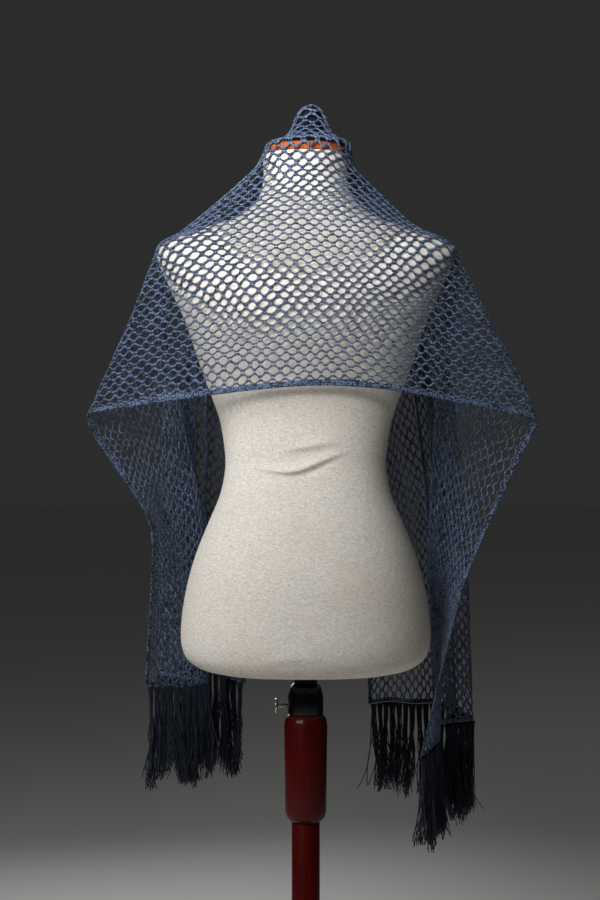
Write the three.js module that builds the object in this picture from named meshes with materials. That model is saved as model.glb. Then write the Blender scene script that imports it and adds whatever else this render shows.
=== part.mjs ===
import * as THREE from 'three';

// A fringed net stole laid over a limbless dress form on a turned stand.
// Millimetres, +Z up. The origin is the middle of the base's underside, on the floor.
// +X is the form's own right-hand side seen from behind, +Y is the way its front faces.

// ---- driving dimensions ----
const formBottom = 700;          // floor to the form's lower edge; heights below count from there
const seamGap = 0.3;             // clearance between pieces that touch
const formSides = 48;            // facets round the form
const formSquareness = 2.25;     // exponent of the form's superellipse sections

const stoleWidth = 600;          // across, from the outer long edge to the inner one
const leftLength = 815;          // middle of the back to the left end
const rightLength = 880;         // middle of the back to the right end
const clothWall = 1.2;           // thickness of the net, which is a plain wall here
const clothClearance = 2.2;      // middle of the wall to the form where it rests on it
const facetClearance = 1.5;      // the same between the grid's points
const settlePasses = 8;
const topReach = { left: 385, right: 392 };   // where the top stretch ends and the falls begin
const columns = 34;              // steps across the stole
const turnSteps = 8;             // steps from the middle to where the cloth turns forward
const shoulderSteps = 5;         // steps from there to the falls
const fallSteps = 12;            // steps along each fall
const turnSoftness = 20;         // how far a row is rounded where it turns forward
const openSoftness = 70;         // and away from there, where the cloth hangs in long curves
const softnessRate = 0.7;        // how fast the one grows into the other
const foldSoftness = 17;         // how far a fold is rounded across the stole

const clothSeam = 0.6;           // between two pieces of the stole
const borderWidth = 8;
const borderThickness = 1.5;
const hemDepth = 7;
const fringeLength = 142;
const fringeThickness = 2.6;
const fringeDrop = 0.9;          // from the hem's edge down to the fringe

// ---- the dress form: height, half width, depth behind and in front of its axis ----
const formSections = [
  { h: 0, half: 116, back: 80, front: 70 },
  { h: 5, half: 140, back: 95, front: 84 },
  { h: 13, half: 156, back: 105, front: 92 },
  { h: 24, half: 167, back: 112, front: 98 },
  { h: 46, half: 173, back: 117, front: 103 },
  { h: 84, half: 171, back: 118, front: 103 },
  { h: 124, half: 164, back: 116, front: 100 },
  { h: 166, half: 152, back: 108, front: 97 },
  { h: 206, half: 136, back: 97, front: 94 },
  { h: 247, half: 119, back: 84, front: 91 },
  { h: 281, half: 112, back: 76, front: 91 },
  { h: 304, half: 112, back: 75, front: 92 },
  { h: 349, half: 119, back: 80, front: 98 },
  { h: 381, half: 130, back: 88, front: 105 },
  { h: 402, half: 138, back: 93, front: 109 },
  { h: 442, half: 152, back: 101, front: 113 },
  { h: 484, half: 166, back: 107, front: 110 },
  { h: 532, half: 188, back: 105, front: 94 },
  { h: 568, half: 204, back: 92, front: 76 },
  { h: 582, half: 206, back: 84, front: 67 },
  { h: 596, half: 196, back: 75, front: 58 },
  { h: 610, half: 163, back: 68, front: 52 },
  { h: 619, half: 132, back: 64, front: 50 },
  { h: 628, half: 105, back: 62, front: 49 },
  { h: 642, half: 81, back: 60, front: 50 },
  { h: 658, half: 66, back: 58, front: 52 },
  { h: 681, half: 59, back: 57, front: 55 },
  { h: 713, half: 58.5, back: 57, front: 56.5 },
  { h: 718, half: 55, back: 54, front: 54 },
];
const bust = { h: 440, tall: 52, out: 74, wide: 38, depth: 13 };
const neckTop = 718;
const capThickness = 12;
const capProfile = [
  { h: 0, r: 52 },
  { h: 2, r: 54 },
  { h: 9, r: 54 },
  { h: capThickness, r: 51 },
];
const finialOffset = 7;          // the knob stands a little to the right of the neck's axis
const offsetRise = 20;           // and the cloth's envelope moves over within this rise
const finialProfile = [
  { h: 0, r: 32 },
  { h: 4, r: 33 },
  { h: 8, r: 30 },
  { h: 14, r: 21 },
  { h: 22, r: 15 },
  { h: 30, r: 13.5 },
  { h: 38, r: 14.5 },
  { h: 45, r: 14 },
  { h: 50, r: 10 },
  { h: 53, r: 5 },
  { h: 54, r: 2 },
];
// What the cloth keeps clear of above the neck: it runs straight from the cap to the knob.
const topEnvelope = [
  { h: 0, r: 57 },
  { h: 5, r: 56.5 },
  { h: 12, r: 56.5 },
  { h: 15, r: 53 },
  { h: 20, r: 39 },
  { h: 28, r: 29 },
  { h: 39, r: 23 },
  { h: 51, r: 19 },
  { h: 60, r: 14 },
  { h: 65, r: 8 },
  { h: 68, r: 0.5 },
];

// ---- the stand: each piece's outline, with heights from its own lower end ----
const collarDrop = 57;           // the collar reaches this far below the form
const collarRadius = 24.5;
const collarProfile = [
  { h: 0, r: collarRadius },
  { h: 24, r: collarRadius },
  { h: 35, r: 22 },
  { h: 40, r: 19.5 },
  { h: 43, r: 16 },
  { h: 51, r: 16 },
  { h: 53, r: 33 },
  { h: collarDrop - seamGap, r: 33 },
];
const sleeveDrop = 206;          // and the wooden sleeve under it this far
const sleeveProfile = [
  { h: 0, r: 21.5 },
  { h: 6, r: 26.5 },
  { h: 14, r: 28.5 },
  { h: 70, r: 29.1 },
  { h: 133, r: 30 },
  { h: 142, r: 28.5 },
  { h: sleeveDrop - collarDrop - seamGap, r: 24 },
];
const postRadius = 19.5;
const baseThickness = 30;
const footHeight = 74;           // floor to the top of the foot that holds the post
const baseProfile = [
  { h: 0, r: 174 },
  { h: 4, r: 178 },
  { h: 20, r: 178 },
  { h: 27, r: 174 },
  { h: baseThickness, r: 166 },
  { h: baseThickness, r: 62 },
  { h: 38, r: 50 },
  { h: 58, r: 34 },
  { h: footHeight, r: 28 },
];
const screwDrop = 46;            // the thumb screw's axis below the form
const screwProfile = [
  { h: 0, r: 3.2 },
  { h: 14, r: 3.2 },
  { h: 14, r: 9 },
  { h: 15, r: 10 },
  { h: 17.4, r: 10 },
  { h: 18.4, r: 9 },
];

// ---- the stole laid over the form ----
// v runs across the stole from its outer edge. a runs along it from the middle of the back.
// Middle of the stole: up the back, over the neck and the knob, and down to the throat.
const middleLine = [
  { v: 0, x: 4, y: -117, h: 396 },
  { v: 60, x: 4, y: -118, h: 456 },
  { v: 130, x: 3, y: -114, h: 526 },
  { v: 190, x: 2, y: -103, h: 584 },
  { v: 235, x: 1, y: -86, h: 625 },
  { v: 262, x: 1, y: -72, h: 648 },
  { v: 290, x: 1, y: -63, h: 675 },
  { v: 334, x: 2, y: -60, h: 719 },
  { v: 348, x: 3, y: -52, h: 733 },
  { v: 366, x: 5, y: -38, h: 741 },
  { v: 395, x: 8, y: -21, h: 764 },
  { v: 420, x: 11, y: -16, h: 788 },
  { v: 440, x: 12, y: 0, h: 801 },
  { v: 460, x: 11, y: 16, h: 788 },
  { v: 485, x: 8, y: 21, h: 764 },
  { v: 512, x: 5, y: 39, h: 741 },
  { v: 531, x: 4, y: 56, h: 732 },
  { v: 545, x: 3, y: 60, h: 718 },
  { v: 600, x: 2, y: 66, h: 664 },
];
// Between the middle and the turn, over the shoulder blades: how far out from the middle.
const bladeLine = [
  { v: 0, a: 112, out: 107, y: -101, h: 391 },
  { v: 130, a: 112, out: 107, y: -99, h: 522 },
  { v: 200, a: 104, out: 100, y: -90, h: 589 },
  { v: 235, a: 95, out: 90, y: -74, h: 622 },
  { v: 262, a: 80, out: 76, y: -60, h: 642 },
  { v: 300, a: 62, out: 58, y: -46, h: 670 },
  { v: 350, a: 44, out: 42, y: -42, h: 724 },
  { v: 385, a: 28, out: 26, y: -22, h: 748 },
  { v: 440, a: 32, out: 20, y: 16, h: 776 },
  { v: 490, a: 34, out: 28, y: 40, h: 742 },
  { v: 545, a: 36, out: 32, y: 62, h: 704 },
  { v: 600, a: 26, out: 22, y: 68, h: 658 },
];
const leftDip = 6;               // the lower edge hangs this much lower beside the middle, left
// The line where each row of net turns forward: the wing's edge, the shoulder, the neck's
// side, and then the side of the throat.
const leftTurn = [
  { v: 0, a: 335, x: -308, y: -12, h: 359 },
  { v: 130, a: 262, x: -247, y: -10, h: 496 },
  { v: 215, a: 213, x: -211, y: -9, h: 589 },
  { v: 255, a: 185, x: -173, y: -8, h: 616 },
  { v: 300, a: 138, x: -123, y: -5, h: 657 },
  { v: 350, a: 86, x: -64, y: -2, h: 708 },
  { v: 385, a: 58, x: -54, y: 12, h: 736 },
  { v: 440, a: 98, x: -58, y: 56, h: 712 },
  { v: 490, a: 74, x: -50, y: 46, h: 704 },
  { v: 545, a: 84, x: -54, y: 72, h: 660 },
  { v: 600, a: 52, x: -38, y: 66, h: 644 },
];
const rightTurn = [
  { v: 0, a: 345, x: 326, y: -12, h: 350 },
  { v: 50, a: 330, x: 309, y: -11, h: 404 },
  { v: 125, a: 283, x: 265, y: -10, h: 483 },
  { v: 212, a: 222, x: 212, y: -9, h: 586 },
  { v: 235, a: 203, x: 194, y: -9, h: 602 },
  { v: 262, a: 168, x: 156, y: -7, h: 618 },
  { v: 320, a: 100, x: 95, y: -4, h: 677 },
  { v: 350, a: 80, x: 64, y: -2, h: 702 },
  { v: 385, a: 56, x: 58, y: 12, h: 734 },
  { v: 445, a: 98, x: 60, y: 56, h: 710 },
  { v: 495, a: 74, x: 52, y: 46, h: 704 },
  { v: 548, a: 84, x: 56, y: 72, h: 660 },
  { v: 600, a: 52, x: 40, y: 66, h: 642 },
];
// Over the collar bone, where the rows begin to hang and the folds open.
const leftCollar = [
  { v: 0, a: 360, x: -299, y: 0, h: 338 },
  { v: 130, a: 312, x: -222, y: 28, h: 462 },
  { v: 215, a: 275, x: -200, y: 38, h: 545 },
  { v: 255, a: 268, x: -178, y: 62, h: 566 },
  { v: 300, a: 230, x: -150, y: 54, h: 592 },
  { v: 345, a: 250, x: -146, y: 92, h: 586 },
  { v: 395, a: 215, x: -112, y: 64, h: 602 },
  { v: 440, a: 242, x: -110, y: 104, h: 592 },
  { v: 490, a: 186, x: -78, y: 72, h: 606 },
  { v: 545, a: 182, x: -76, y: 112, h: 592 },
  { v: 600, a: 122, x: -46, y: 88, h: 598 },
];
const rightCollar = [
  { v: 0, a: 368, x: 316, y: 0, h: 331 },
  { v: 125, a: 325, x: 240, y: 28, h: 452 },
  { v: 212, a: 280, x: 205, y: 38, h: 543 },
  { v: 258, a: 262, x: 176, y: 64, h: 566 },
  { v: 305, a: 228, x: 146, y: 54, h: 592 },
  { v: 350, a: 246, x: 144, y: 94, h: 586 },
  { v: 398, a: 218, x: 110, y: 64, h: 602 },
  { v: 445, a: 244, x: 112, y: 106, h: 590 },
  { v: 495, a: 186, x: 78, y: 72, h: 604 },
  { v: 548, a: 182, x: 80, y: 112, h: 590 },
  { v: 600, a: 122, x: 48, y: 88, h: 596 },
];
// Each fall is three sections, at the chest, the waist and the hem, with a row for each fold.
const leftFall = [
  { a: topReach.left, rows: [
    { v: 0, x: -288, y: 12, h: 315 },
    { v: 80, x: -232, y: 42, h: 362 },
    { v: 155, x: -182, y: 62, h: 408 },
    { v: 230, x: -206, y: 116, h: 432 },
    { v: 300, x: -152, y: 86, h: 440 },
    { v: 350, x: -178, y: 130, h: 442 },
    { v: 400, x: -140, y: 98, h: 442 },
    { v: 450, x: -146, y: 146, h: 436 },
    { v: 500, x: -104, y: 128, h: 424 },
    { v: 550, x: -104, y: 164, h: 400 },
    { v: 600, x: -70, y: 146, h: 356 },
  ] },
  { a: 565, rows: [
    { v: 0, x: -209, y: -14, h: 209 },
    { v: 80, x: -190, y: 50, h: 204 },
    { v: 150, x: -142, y: 74, h: 215 },
    { v: 230, x: -216, y: 108, h: 236 },
    { v: 300, x: -158, y: 110, h: 243 },
    { v: 350, x: -183, y: 144, h: 243 },
    { v: 400, x: -144, y: 126, h: 243 },
    { v: 450, x: -152, y: 164, h: 242 },
    { v: 500, x: -112, y: 130, h: 238 },
    { v: 550, x: -116, y: 168, h: 222 },
    { v: 600, x: -78, y: 144, h: 200 },
  ] },
  { a: leftLength, rows: [
    { v: 0, x: -223, y: -4, h: -17 },
    { v: 80, x: -172, y: 46, h: -27 },
    { v: 150, x: -134, y: 80, h: -26 },
    { v: 230, x: -220, y: 108, h: -16 },
    { v: 300, x: -156, y: 117, h: -12 },
    { v: 350, x: -182, y: 150, h: -12 },
    { v: 400, x: -140, y: 132, h: -12 },
    { v: 450, x: -156, y: 166, h: -14 },
    { v: 500, x: -116, y: 138, h: -18 },
    { v: 550, x: -124, y: 170, h: -26 },
    { v: 600, x: -88, y: 148, h: -34 },
  ] },
];
const rightFall = [
  { a: topReach.right, rows: [
    { v: 0, x: 304, y: 12, h: 308 },
    { v: 85, x: 238, y: 44, h: 360 },
    { v: 165, x: 184, y: 58, h: 408 },
    { v: 235, x: 214, y: 118, h: 428 },
    { v: 305, x: 166, y: 96, h: 434 },
    { v: 355, x: 182, y: 142, h: 434 },
    { v: 405, x: 152, y: 104, h: 434 },
    { v: 455, x: 158, y: 150, h: 430 },
    { v: 505, x: 112, y: 130, h: 420 },
    { v: 552, x: 106, y: 166, h: 396 },
    { v: 600, x: 70, y: 148, h: 350 },
  ] },
  { a: 585, rows: [
    { v: 0, x: 218, y: -36, h: 136 },
    { v: 85, x: 198, y: 36, h: 158 },
    { v: 165, x: 172, y: 82, h: 188 },
    { v: 235, x: 238, y: 110, h: 212 },
    { v: 305, x: 188, y: 122, h: 222 },
    { v: 355, x: 212, y: 156, h: 224 },
    { v: 405, x: 176, y: 134, h: 224 },
    { v: 455, x: 190, y: 176, h: 220 },
    { v: 505, x: 162, y: 146, h: 214 },
    { v: 552, x: 128, y: 168, h: 198 },
    { v: 600, x: 88, y: 152, h: 176 },
  ] },
  { a: rightLength, rows: [
    { v: 0, x: 158, y: -20, h: -114 },
    { v: 85, x: 190, y: 44, h: -102 },
    { v: 165, x: 188, y: 102, h: -88 },
    { v: 235, x: 248, y: 114, h: -84 },
    { v: 305, x: 204, y: 134, h: -76 },
    { v: 355, x: 228, y: 174, h: -72 },
    { v: 405, x: 186, y: 152, h: -70 },
    { v: 455, x: 200, y: 188, h: -68 },
    { v: 505, x: 160, y: 160, h: -66 },
    { v: 552, x: 127, y: 186, h: -65 },
    { v: 600, x: 93, y: 162, h: -67 },
  ] },
];

// ---- finishes ----
const finish = (color, roughness, metalness = 0) =>
  new THREE.MeshStandardMaterial({ color, roughness, metalness });
const linen = finish(0xe6e2da, 0.9);
const mahogany = finish(0x5a1410, 0.3);
const orangeWood = finish(0xb5522c, 0.45);
const metal = finish(0x3a3a3c, 0.4, 0.9);
const yarn = finish(0x4a6485, 0.85);
const darkYarn = finish(0x33486a, 0.85);

const part = new THREE.Group();
const addMesh = (name, geometry, material) => {
  const mesh = new THREE.Mesh(geometry, material);
  mesh.name = name;
  part.add(mesh);
  return mesh;
};

// ---- small helpers ----
// Where key value t falls between two rows of a table, with straight lines between rows.
const between = (rows, key, t) => {
  let i = 1;
  while (i < rows.length - 1 && rows[i][key] < t) i += 1;
  const low = rows[i - 1];
  const high = rows[i];
  return { low, high, f: (t - low[key]) / (high[key] - low[key]) };
};
const mix = (p, q, f) => p + (q - p) * f;
const rowAt = (rows, v) => {
  const { low, high, f } = between(rows, 'v', v);
  const a = low.a === undefined ? undefined : mix(low.a, high.a, f);
  return { a, x: mix(low.x, high.x, f), y: mix(low.y, high.y, f), h: mix(low.h, high.h, f) };
};

// A section of the form at height h, smoothed through the table's rows.
const sectionAt = (h) => {
  const clamped = Math.min(Math.max(h, 0), neckTop);
  const rows = formSections;
  let i = 1;
  while (i < rows.length - 1 && rows[i].h < clamped) i += 1;
  const at = [rows[Math.max(i - 2, 0)], rows[i - 1], rows[i], rows[Math.min(i + 1, rows.length - 1)]];
  const span = at[2].h - at[1].h;
  const f = (clamped - at[1].h) / span;
  const value = (key) => {
    const slope = (p, q) => (q[key] - p[key]) / Math.max(q.h - p.h, 1e-9);
    const m1 = at[0] === at[1] ? slope(at[1], at[2]) : slope(at[0], at[2]);
    const m2 = at[3] === at[2] ? slope(at[1], at[2]) : slope(at[1], at[3]);
    const f2 = f * f;
    const f3 = f2 * f;
    return (2 * f3 - 3 * f2 + 1) * at[1][key] + (f3 - 2 * f2 + f) * span * m1
      + (3 * f2 - 2 * f3) * at[2][key] + (f3 - f2) * span * m2;
  };
  return { half: value('half'), back: value('back'), front: value('front') };
};

// The form's radius at height h in direction (cx, cy), a unit vector.
const formRadius = (h, cx, cy) => {
  const s = sectionAt(h);
  const depth = cy < 0 ? s.back : s.front;
  const n = formSquareness;
  const r = (Math.abs(cx / s.half) ** n + Math.abs(cy / depth) ** n) ** (-1 / n);
  const side = (Math.abs(cx * r) - bust.out) / bust.wide;
  const level = (h - bust.h) / bust.tall;
  const mound = bust.depth * Math.exp(-side * side - level * level);
  return cy > 0 ? r + mound * cy : r;
};

// How far a point (x, y, height) is outside the form, its cap and its knob, about level.
const outside = (x, y, h) => {
  if (h <= neckTop) {
    const r = Math.hypot(x, y) || 1e-6;
    return r - formRadius(h, x / r, y / r);
  }
  const rise = h - neckTop;
  const { low, high, f } = between(topEnvelope, 'h', rise);
  const shift = finialOffset * Math.min(rise / offsetRise, 1);
  return Math.hypot(x - shift, y) - mix(low.r, high.r, f);
};

// Moves a point straight out of the form until it is clear of it.
const clearPasses = 4;
const probe = 0.5;
const clearOfForm = (point, clearance) => {
  const p = [...point];
  for (let pass = 0; pass < clearPasses; pass += 1) {
    const d = outside(...p);
    const slope = [0, 1, 2].map((k) => {
      const q = [...p];
      q[k] += probe;
      return (outside(...q) - d) / probe;
    });
    const size = Math.hypot(...slope);
    const short = clearance - d / size;
    if (short <= 0) break;
    for (let k = 0; k < 3; k += 1) p[k] += (slope[k] / size) * short;
  }
  return p;
};

// ---- the stole's surface ----
const sides = {
  left: { turn: leftTurn, collar: leftCollar, fall: leftFall },
  right: { turn: rightTurn, collar: rightCollar, fall: rightFall },
};

// One row of net as straight lines: middle, blade, turn, collar, chest, waist, hem.
const rowLine = (side, v) => {
  const { turn, collar, fall } = sides[side];
  const middle = { ...rowAt(middleLine, v), a: 0 };
  const { low, high, f } = between(bladeLine, 'v', v);
  const blade = {
    a: mix(low.a, high.a, f),
    x: middle.x + (side === 'left' ? -1 : 1) * mix(low.out, high.out, f),
    y: mix(low.y, high.y, f),
    h: mix(low.h, high.h, f) - (side === 'left' ? leftDip * Math.max(0, 1 - v / 130) : 0),
  };
  const hanging = fall.map((section) => ({ ...rowAt(section.rows, v), a: section.a }));
  return [middle, blade, rowAt(turn, v), rowAt(collar, v), ...hanging];
};

const straightPoint = (u, v) => {
  const line = rowLine(u < 0 ? 'left' : 'right', v);
  const { low, high, f } = between(line, 'a', Math.abs(u));
  return [mix(low.x, high.x, f), mix(low.y, high.y, f), mix(low.h, high.h, f)];
};

// The stole at (u, v): the straight rows averaged over a small patch, which rounds each fold.
const patch = [[-1, 1], [-0.67, 3], [-0.33, 5], [0, 6], [0.33, 5], [0.67, 3], [1, 1]];
const patchWeight = 24 * 24;
const stolePoint = (u, v) => {
  const sum = [0, 0, 0];
  const side = u < 0 ? 'left' : 'right';
  const fromTurn = softnessRate * Math.abs(rowAt(sides[side].turn, v).a - Math.abs(u));
  const toHem = (u < 0 ? leftLength : rightLength) - Math.abs(u);
  const open = Math.min(Math.max(fromTurn, turnSoftness), openSoftness);
  const alongReach = Math.min(open, toHem + 0.01);
  for (const [i, wi] of patch) {
    for (const [j, wj] of patch) {
      const p = straightPoint(u + i * alongReach, v + j * foldSoftness);
      for (let k = 0; k < 3; k += 1) sum[k] += p[k] * wi * wj / patchWeight;
    }
  }
  return clearOfForm(sum, clothClearance);
};

const steps = (from, to, count) =>
  Array.from({ length: count + 1 }, (_, i) => mix(from, to, i / count));

// The whole stole as one grid of points, so that its pieces share their seams. One line of
// the grid lies all along the turn on each side, so that the fold there keeps its edge.
const sideLines = (side, sign, reach) => [
  ...steps(1 / turnSteps, 1, turnSteps - 1).map((f) => (v) => sign * f * rowAt(sides[side].turn, v).a),
  ...steps(0, 1, shoulderSteps).slice(1).map((f) => (v) =>
    sign * mix(rowAt(sides[side].turn, v).a, topReach[side], f)),
  ...steps(topReach[side], reach - hemDepth, fallSteps).slice(1).map((a) => () => sign * a),
  () => sign * reach,
];
const uLines = [
  ...sideLines('left', -1, leftLength).reverse(),
  () => 0,
  ...sideLines('right', 1, rightLength),
];
const vLines = [0, ...steps(borderWidth, stoleWidth - borderWidth, columns), stoleWidth];
const grid = uLines.map((u) => vLines.map((v) => new THREE.Vector3(...stolePoint(u(v), v))));

// Flat facets cut across the form's curves, so the corners of each that comes too near
// move out.
const settle = () => {
  for (let pass = 0; pass < settlePasses; pass += 1) {
    for (let i = 0; i < grid.length - 1; i += 1) {
      for (let j = 0; j < grid[0].length - 1; j += 1) {
        const corners = [grid[i][j], grid[i + 1][j], grid[i + 1][j + 1], grid[i][j + 1]];
        const samples = corners.map((c, k) => [c, corners[(k + 1) % 4]]);
        samples.push([corners[0], corners[2]], [corners[1], corners[3]]);
        for (const [from, to] of samples) {
          for (const f of [0.25, 0.5, 0.75]) {
            const middle = from.clone().lerp(to, f);
            const clear = new THREE.Vector3(...clearOfForm(middle.toArray(), facetClearance));
            const move = clear.sub(middle);
            if (move.lengthSq() < 1e-6) continue;
            from.add(move);
            to.add(move);
          }
        }
      }
    }
  }
};
settle();

// A wall's corner halves the angle between the facets that meet there.
const through = (before, here, after) => {
  const sum = new THREE.Vector3();
  if (before) sum.add(here.clone().sub(before).normalize());
  if (after) sum.add(after.clone().sub(here).normalize());
  return sum;
};
const normals = grid.map((line, i) => line.map((point, j) => {
  const along = through(grid[i - 1]?.[j], point, grid[i + 1]?.[j]);
  const across = through(line[j - 1], point, line[j + 1]);
  return new THREE.Vector3().crossVectors(across, along).normalize();
}));
for (const line of grid) {
  for (const point of line) point.z += formBottom;
}

// A closed wall from rows of { point, normal }, half its thickness either side.
const wallGeometry = (frames, thickness) => {
  const rows = frames.length;
  const cols = frames[0].length;
  const positions = [];
  for (const side of [1, -1]) {
    for (const { point, normal } of frames.flat()) {
      positions.push(...point.clone().addScaledVector(normal, side * thickness / 2).toArray());
    }
  }
  const at = (layer, i, j) => layer * rows * cols + i * cols + j;
  const index = [];
  const quad = (p, q, r, s) => index.push(p, q, r, p, r, s);
  const span = (i, j, k, l) => frames[i][j].point.distanceTo(frames[k][l].point);
  for (let i = 0; i < rows - 1; i += 1) {
    for (let j = 0; j < cols - 1; j += 1) {
      const outer = [at(0, i, j), at(0, i, j + 1), at(0, i + 1, j + 1), at(0, i + 1, j)];
      const inner = [at(1, i, j), at(1, i + 1, j), at(1, i + 1, j + 1), at(1, i, j + 1)];
      // a quad bends along its longer diagonal, so a slanting fold keeps its line
      if (span(i, j, i + 1, j + 1) < span(i, j + 1, i + 1, j)) {
        outer.push(outer.shift());
        inner.push(inner.shift());
      }
      quad(...outer);
      quad(...inner);
    }
  }
  for (let j = 0; j < cols - 1; j += 1) {
    quad(at(0, 0, j + 1), at(0, 0, j), at(1, 0, j), at(1, 0, j + 1));
    quad(at(0, rows - 1, j + 1), at(1, rows - 1, j + 1), at(1, rows - 1, j), at(0, rows - 1, j));
  }
  for (let i = 0; i < rows - 1; i += 1) {
    quad(at(0, i, 0), at(0, i + 1, 0), at(1, i + 1, 0), at(1, i, 0));
    quad(at(0, i, cols - 1), at(1, i, cols - 1), at(1, i + 1, cols - 1), at(0, i + 1, cols - 1));
  }
  const geometry = new THREE.BufferGeometry();
  geometry.setAttribute('position', new THREE.Float32BufferAttribute(positions, 3));
  geometry.setIndex(index);
  return geometry;
};

// A piece of the stole from lines i0 to i1 and j0 to j1, its edges drawn in by half a seam.
const clothPiece = ([i0, i1], [j0, j1], thickness) => {
  const drawnIn = (from, to) => to.clone().sub(from).setLength(clothSeam / 2);
  const frames = [];
  for (let i = i0; i <= i1; i += 1) {
    const line = [];
    for (let j = j0; j <= j1; j += 1) {
      const point = grid[i][j].clone();
      if (i === i0) point.add(drawnIn(grid[i][j], grid[i + 1][j]));
      if (i === i1) point.add(drawnIn(grid[i][j], grid[i - 1][j]));
      if (j === j0) point.add(drawnIn(grid[i][j], grid[i][j + 1]));
      if (j === j1) point.add(drawnIn(grid[i][j], grid[i][j - 1]));
      line.push({ point, normal: normals[i][j] });
    }
    frames.push(line);
  }
  return wallGeometry(frames, thickness);
};

// ---- the form and its stand ----
const ringGeometry = (rings) => {
  const count = rings[0].length;
  const positions = rings.flat(2);
  const index = [];
  for (let i = 0; i < rings.length - 1; i += 1) {
    for (let j = 0; j < count; j += 1) {
      const k = (j + 1) % count;
      index.push(i * count + j, i * count + k, (i + 1) * count + k);
      index.push(i * count + j, (i + 1) * count + k, (i + 1) * count + j);
    }
  }
  const last = (rings.length - 1) * count;
  for (let j = 1; j < count - 1; j += 1) {
    index.push(0, j + 1, j);
    index.push(last, last + j, last + j + 1);
  }
  const geometry = new THREE.BufferGeometry();
  geometry.setAttribute('position', new THREE.Float32BufferAttribute(positions, 3));
  geometry.setIndex(index);
  return geometry;
};

const formRing = (h) => Array.from({ length: formSides }, (_, k) => {
  const angle = (k / formSides) * Math.PI * 2;
  const s = sectionAt(h);
  // equal steps on a stretched circle give even facets round the flat oval
  const x = Math.cos(angle) * s.half;
  const y = Math.sin(angle) * (Math.sin(angle) < 0 ? s.back : s.front);
  const size = Math.hypot(x, y);
  const r = formRadius(h, x / size, y / size);
  return [(x / size) * r, (y / size) * r, formBottom + h];
});
addMesh('form_body', ringGeometry(formSections.map((row) => formRing(row.h))), linen);

// A turned piece from its outline, closed on the axis at both ends.
const lathe = (profile, base, sidesRound) => {
  const ends = [{ h: profile[0].h, r: 0 }, { h: profile.at(-1).h, r: 0 }];
  const outline = [ends[0], ...profile, ends[1]].map(({ h, r }) => new THREE.Vector2(r, base + h));
  return new THREE.LatheGeometry(outline, sidesRound);
};
const turned = (name, profile, base, material, sidesRound = 40) =>
  addMesh(name, lathe(profile, base, sidesRound).rotateX(Math.PI / 2), material);

const capBase = formBottom + neckTop + seamGap;
const finial = turned('finial_knob', finialProfile, capBase + capThickness + seamGap, mahogany, 28);
finial.position.x = finialOffset;
turned('neck_cap', capProfile, capBase, orangeWood);

const collarBase = formBottom - collarDrop;
const sleeveBase = formBottom - sleeveDrop;
const postBase = footHeight + seamGap;
const postProfile = [
  { h: 0, r: postRadius },
  { h: sleeveBase - seamGap - postBase, r: postRadius },
];
turned('metal_collar', collarProfile, collarBase, metal);
turned('post_sleeve', sleeveProfile, sleeveBase, mahogany);
turned('post', postProfile, postBase, mahogany, 32);
turned('base', baseProfile, 0, mahogany, 56);

// The thumb screw stands out of the collar on the left, with its flat head edge on.
const screw = addMesh('thumb_screw', lathe(screwProfile, 0, 20).rotateZ(Math.PI / 2), metal);
screw.position.set(-collarRadius - seamGap, 0, formBottom - screwDrop);

// ---- the stole: the top stretch and two falls, their borders, hems and fringes ----
const lastU = uLines.length - 1;
const lastV = vLines.length - 1;
const stretches = {
  left_fall: [1, 1 + fallSteps],
  top: [1 + fallSteps, lastU - 1 - fallSteps],
  right_fall: [lastU - 1 - fallSteps, lastU - 1],
};
for (const [name, span] of Object.entries(stretches)) {
  addMesh(`net_${name}`, clothPiece(span, [1, lastV - 1], clothWall), yarn);
  addMesh(`border_outer_${name}`, clothPiece(span, [0, 1], borderThickness), darkYarn);
  addMesh(`border_inner_${name}`, clothPiece(span, [lastV - 1, lastV], borderThickness), darkYarn);
}
addMesh('hem_left', clothPiece([0, 1], [0, lastV], borderThickness), darkYarn);
addMesh('hem_right', clothPiece([lastU - 1, lastU], [0, lastV], borderThickness), darkYarn);

// Fringe: a plain curtain of the strands' reach, straight down from the hem.
const fringePiece = (i) => {
  const level = (f) => grid[i].map((top, j) => {
    const point = top.clone();
    point.z -= fringeDrop + f * fringeLength;
    const normal = normals[i][j].clone().setZ(0).normalize();
    return { point, normal };
  });
  const rows = [level(0), level(0.5), level(1)];
  return wallGeometry(i === 0 ? rows.reverse() : rows, fringeThickness);
};
addMesh('fringe_left', fringePiece(0), yarn);
addMesh('fringe_right', fringePiece(lastU), yarn);

export default part;
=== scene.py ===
import math

import bmesh
import bpy
import numpy as np
from mathutils import Matrix, Vector


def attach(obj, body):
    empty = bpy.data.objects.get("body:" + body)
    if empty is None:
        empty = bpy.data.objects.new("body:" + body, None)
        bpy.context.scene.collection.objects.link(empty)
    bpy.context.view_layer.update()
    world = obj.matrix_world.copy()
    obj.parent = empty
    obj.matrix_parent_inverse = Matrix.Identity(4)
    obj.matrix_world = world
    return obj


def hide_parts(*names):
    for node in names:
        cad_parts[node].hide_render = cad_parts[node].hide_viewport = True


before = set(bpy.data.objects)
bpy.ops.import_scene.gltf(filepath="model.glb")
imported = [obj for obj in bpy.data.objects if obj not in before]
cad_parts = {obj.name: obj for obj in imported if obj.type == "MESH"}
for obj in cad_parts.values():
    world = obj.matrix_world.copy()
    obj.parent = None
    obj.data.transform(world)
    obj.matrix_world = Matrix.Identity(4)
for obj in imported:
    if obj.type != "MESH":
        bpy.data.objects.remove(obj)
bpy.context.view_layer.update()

# A crocheted net stole with fringed ends, laid over a limbless dress form on a turned stand.
# Lengths in the dictionaries are millimetres, and heights on the form count from its lower edge.
# +X is the right-hand side seen from behind, +Y is the way the form faces.
mm = 0.001
formBottom = 700
body = "root"


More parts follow.
